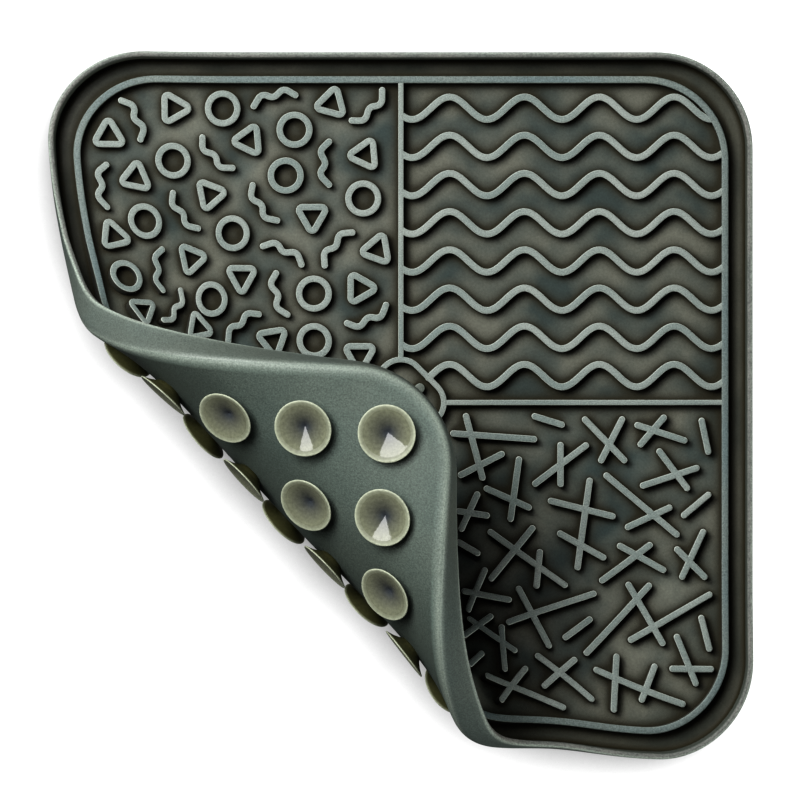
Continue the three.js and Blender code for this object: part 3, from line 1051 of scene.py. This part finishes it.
# %% Dividers and centre ring
SHORT_OF_EDGE = 0.8

ring_reach = (RING["half"] - RING["corner"]) * math.sqrt(2) + RING["corner"]
divider_end = EDGE_RIDGE["half"] - SHORT_OF_EDGE
centre = np.array([DIVIDER["x"], DIVIDER["y"]])
divider_rows = []
for quarter in range(4):
    x, y = centre + towards(quarter * math.pi / 2) * (divider_end + ring_reach) / 2
    divider_rows.append((x, y, quarter * 90, divider_end - ring_reach))
ridges(
    "dividers",
    divider_rows,
    unit_line(),
    DIVIDER["width"],
    DIVIDER["height"],
    Step=1.5,
    Edge_radius=0.3,
)
ridges(
    "centre_ring",
    [(*centre, 45, 1)],
    line_of(outline(RING["half"], RING["corner"], 0.8)[0], True),
    RING["width"],
    RING["height"],
    Step=0.8,
    Edge_radius=0.3,
)

# %% Peg and edge ridge
ridges(
    "peg",
    [(PEG["x"], PEG["y"], PEG["turn"], PEG["length"])],
    unit_line(),
    PEG["width"],
    PEG["height"],
    Step=0.8,
    Finish=rim_finish,
)
ridges(
    "edge_ridge",
    [(0, 0, 0, 1)],
    line_of(outline(EDGE_RIDGE["half"], EDGE_RIDGE["corner"], EDGE_STEP)[0], True),
    EDGE_RIDGE["width"],
    EDGE_RIDGE["height"],
    Step=1.5,
    Edge_radius=0.4,
    Finish=edge_ridge_finish,
)

# %% [markdown]
# The finish of the cups
# Sixty-four thin cups stand on the back in even rows. They are so thin that light comes through,
# so they are olive, pale at the lip, and blue-grey deep inside, and the cone inside is polished.
# Light scattered below the skin could show this, but it renders slowly, and a ramp of colours
# from the axis to the foot gives the same picture.

# %% The finish of the cups
CUP_SHADES = [
    # place on the ramp, colour
    (0.0, (0.028, 0.033, 0.040)),
    (0.12, (0.038, 0.042, 0.044)),
    (0.30, (0.068, 0.071, 0.058)),
    (0.62, (0.116, 0.121, 0.086)),
    (0.72, (0.125, 0.132, 0.094)),
    (0.80, (0.250, 0.268, 0.205)),
    (0.86, (0.060, 0.060, 0.028)),
    (1.0, (0.028, 0.028, 0.012)),
]
POLISHED, MATT = 0.06, 0.45

cup_finish, tree, principled = new_finish("silicone_cup")
shade = put(tree, "ShaderNodeAttribute", {"attribute_name": "from_axis"}).outputs["Fac"]
hue = put(tree, "ShaderNodeValToRGB", Fac=shade)
steps = hue.color_ramp.elements
while len(steps) < len(CUP_SHADES):
    steps.new(0.5)
for step, (at, colour) in zip(steps, CUP_SHADES):
    step.position, step.color = at, (*colour, 1)
colours = {"Main colour": hue.outputs["Color"], "Patch colour": hue.outputs["Color"]}
grain = {"Speckle": 0.16, "Grain scale": 1200.0, "Grain depth": 0.03}
place = put(tree, "ShaderNodeTexCoord").outputs["Object"]
group = put(tree, "ShaderNodeGroup", {"node_tree": skin}, Place=place, **colours, **grain)
polish = ramp_range(tree, shade, 0.66, 0.72, POLISHED, MATT)
tree.links.new(group.outputs["Colour"], principled.inputs["Base Color"])
tree.links.new(polish, principled.inputs["Roughness"])
tree.links.new(group.outputs["Normal"], principled.inputs["Normal"])
print("finish", cup_finish.name)

# %% [markdown]
# The cups
# Each cup is a flare with a flat land round its mouth and a shallow cone inside. It keeps that
# shape where the sheet bends, because it only hangs on its neck, so it can't be curled as the
# ridges are. One cup is turned on a lathe from a drawn profile, with the shade of each ring kept
# in an attribute. A Geometry Nodes tree then sets a copy of it on each place, turned to stand on
# the sheet. An Array modifier would make the rows, but it can't turn each cup by itself.

# %% One cup
CUP_PROFILE = [
    # radius, height from the sheet's back, shade
    (0.0, -0.01, 0.0),
    (0.12, -0.065, 0.02),
    (1.2, -0.468, 0.13),
    (2.6, -0.992, 0.28),
    (4.2, -1.59, 0.44),
    (5.6, -2.114, 0.58),
    (6.5, -2.45, 0.66),
    (6.75, -2.52, 0.72),
    (7.3, -2.68, 0.74),
    (7.65, -2.77, 0.77),
    (7.85, -2.8, 0.8),
    (8.03, -2.74, 0.8),
    (8.1, -2.6, 0.8),
    (8.0, -2.42, 0.83),
    (7.2, -2.12, 0.87),
    (5.9, -1.55, 0.9),
    (4.6, -0.75, 0.95),
    (3.9, -0.1, 1.0),
    (3.75, 0.6, 1.0),
    (0.0, 0.9, 1.0),
]
cup_mesh = lathe([(radius, height) for radius, height, _ in CUP_PROFILE], CUP["sides"])
shades = []
for radius, _, shade in CUP_PROFILE:
    shades += [shade] * (CUP["sides"] if radius > 0 else 1)
set_numbers(cup_mesh, "from_axis", shades)
cup_mesh.transform(Matrix.Scale(MM, 4))
one_cup = add_helper("one_cup", cup_mesh)
print("one cup has", len(cup_mesh.polygons), "faces")

# %% The tree that sets the cups on the sheet
cup_tree, ask, answer = new_tree(
    "cups_on_the_back",
    "GeometryNodeTree",
    [
        ("Geometry", "NodeSocketGeometry", None),
        ("Cup", "NodeSocketObject", None),
        ("Finish", "NodeSocketMaterial", None),
    ],
    [("Geometry", "NodeSocketGeometry")],
)
add = functools.partial(put, cup_tree)
cup_shape = add("GeometryNodeObjectInfo", Object=ask["Cup"])
up = add("GeometryNodeInputNamedAttribute", {"data_type": "FLOAT_VECTOR"}, Name="up")
right = add("GeometryNodeInputNamedAttribute", {"data_type": "FLOAT_VECTOR"}, Name="right")
stance = add(
    "FunctionNodeAxesToRotation",
    {"primary_axis": "Z", "secondary_axis": "X"},
    Primary_Axis=up.outputs[0],
    Secondary_Axis=right.outputs[0],
)
set_cups = add(
    "GeometryNodeInstanceOnPoints",
    Points=ask["Geometry"],
    Instance=cup_shape.outputs["Geometry"],
    Rotation=stance.outputs[0],
)
real_cups = add("GeometryNodeRealizeInstances", Geometry=set_cups.outputs[0])
smooth_cups = add("GeometryNodeSetShadeSmooth", Geometry=real_cups.outputs[0], Shade_Smooth=True)
done_cups = add("GeometryNodeSetMaterial", Geometry=smooth_cups.outputs[0], Material=ask["Finish"])
cup_tree.links.new(done_cups.outputs[0], answer["Geometry"])
print("tree", cup_tree.name, "with", len(cup_tree.nodes), "nodes")

# %% How the cups stand
LEAN = [
    # degrees: the sheet's back, a cup on it
    (0, 0),
    (11, 12),
    (28, 23),
    (50, 44),
    (55, 49.5),
    (74, 81),
    (90, 92),
    (180, 180),
]


def leaned(up):
    """Turns a cup a little against the sheet: its neck is soft, so it doesn't stand square."""
    down = -up
    tilt = np.degrees(np.arccos(np.clip(down[:, 2], -1, 1)))
    wanted = np.radians(np.interp(tilt, *zip(*LEAN)))
    level = down * (1, 1, 0)
    length = np.linalg.norm(level, axis=1, keepdims=True)
    level = np.where(length > 1e-6, level / np.maximum(length, 1e-6), (1.0, 0.0, 0.0))
    return -(level * np.sin(wanted)[:, None] + np.cos(wanted)[:, None] * (0, 0, 1))


cup_line = (np.arange(CUP["count"]) - (CUP["count"] - 1) / 2) * CUP["pitch"]
cup_x, cup_y = (axis.ravel() for axis in np.meshgrid(cup_line, cup_line))
cup_right, cup_up = directions(cup_x, cup_y)
cup_up = leaned(cup_up)
cup_places = back_place(cup_x, cup_y)
# A cup that starts to tilt is pressed up into its neck, so that its lip stays on the table.
lean = np.sqrt(np.clip(1 - cup_up[:, 2] ** 2, 0, 1))
lowest = cup_places[:, 2] - BACK * cup_up[:, 2] - CUP["lip"] * lean
cup_places[:, 2] += np.maximum(-lowest, 0)
print(len(cup_places), "cups,", int((cup_up[:, 2] < 0).sum()), "of them look up")

# %% All the cups
cup_points = bpy.data.meshes.new("cup_points")
cup_points.from_pydata([tuple(place * MM) for place in cup_places], [], [])
for name, vectors in (("up", cup_up), ("right", cup_right)):
    attribute = cup_points.attributes.new(name, "FLOAT_VECTOR", "POINT")
    attribute.data.foreach_set("vector", vectors.ravel())
carrier = add_helper("cup_points", cup_points)
cups_mesh = applied(carrier, cup_tree, {"Cup": one_cup, "Finish": cup_finish})
for helper in (carrier, one_cup):
    bpy.data.objects.remove(helper)
cups = add_piece("suction_cups", cups_mesh)
print("lowest point", round(float(points_of(cups_mesh)[:, 2].min()) / MM, 3), "mm")

# %% [markdown]
# The sheet and what is on it
# Before it was curled, the mat was a flat square of 200 mm, folded over once. The ridges and the
# cups are separate pieces here, but they move with the sheet.

# %% [markdown]
# The table
# The photograph is a cut-out on pure white, with a soft shadow on the left and below. A plain
# white table can't be pure white and take a shadow at once, so this one glows evenly, and an
# Ambient Occlusion node darkens it close to the mat. The node looks towards the far right, so
# the shadow falls to the near left. The glow is kept off the mat.

# %% Table
TABLE_HALF = 3
TABLE_COLOUR = (0.05, 0.05, 0.05, 1)
SHADOW_REACH = 0.03
SHADOW_SAMPLES = 32
LOOK_TOWARDS = (0.4, 0.34, 0.85)

corners = [(-1, -1), (1, -1), (1, 1), (-1, 1)]
floor_mesh = bpy.data.meshes.new("table")
places = [(x * TABLE_HALF, y * TABLE_HALF, 0) for x, y in corners]
floor_mesh.from_pydata(places, [], [(0, 1, 2, 3)])
table_finish, tree, principled = new_finish("white_table", specular=0.0)
principled.inputs["Base Color"].default_value = TABLE_COLOUR
principled.inputs["Emission Color"].default_value = (1, 1, 1, 1)
look = put(tree, "ShaderNodeCombineXYZ", **dict(zip("XYZ", LOOK_TOWARDS)))
closeness = put(
    tree,
    "ShaderNodeAmbientOcclusion",
    {"samples": SHADOW_SAMPLES},
    Distance=SHADOW_REACH,
    Normal=look.outputs[0],
)
glow = ramp_range(tree, closeness.outputs["AO"], 0.2, 0.84, 0.02, 1.0)
tree.links.new(glow, principled.inputs["Emission Strength"])
floor_mesh.materials.append(table_finish)
floor = bpy.data.objects.new("table", floor_mesh)
scene_objects.link(floor)
floor.visible_diffuse = False
floor.visible_glossy = False
print("table", 2 * TABLE_HALF, "m square")

# %% [markdown]
# The light
# One large soft box stands well above the mat, on the far left. Its mirror image is the wedge in
# the polished cones of the cups. A smaller box beside it makes the shadows below each ridge
# crisper, and a low one at the near right opens the shadows. Those two are kept out of
# reflections, because the real cups show only one wedge. A pale sky fills the rest.

# %% Lamps and sky
LAMPS = [
    # name, place, width, height, power, seen in reflections
    ("key", (-0.486, 0.437, 1.006), 1.2, 0.66, 17, True),
    ("main", (-0.615, 0.516, 0.892), 0.45, 0.45, 15, False),
    ("side", (1.024, -0.859, 0.188), 1.2, 0.25, 18, False),
]
SKY_STRENGTH = 0.09

for name, place, width, height, power, reflected in LAMPS:
    lamp = bpy.data.lights.new(name, "AREA")
    lamp.shape, lamp.size, lamp.size_y, lamp.energy = "RECTANGLE", width, height, power
    box = bpy.data.objects.new(name, lamp)
    scene_objects.link(box)
    box.location = place
    box.rotation_euler = (-Vector(place)).to_track_quat("-Z", "Y").to_euler()
    box.visible_glossy = reflected
world = bpy.data.worlds.new("pale_sky")
bpy.context.scene.world = world
world.use_nodes = True
sky = world.node_tree.nodes["Background"].inputs
sky["Color"].default_value = (1, 1, 1, 1)
sky["Strength"].default_value = SKY_STRENGTH
bpy.context.scene.view_settings.view_transform = "Standard"
bpy.context.scene.view_settings.look = "High Contrast"
print(len(LAMPS), "soft boxes and a sky of", SKY_STRENGTH)
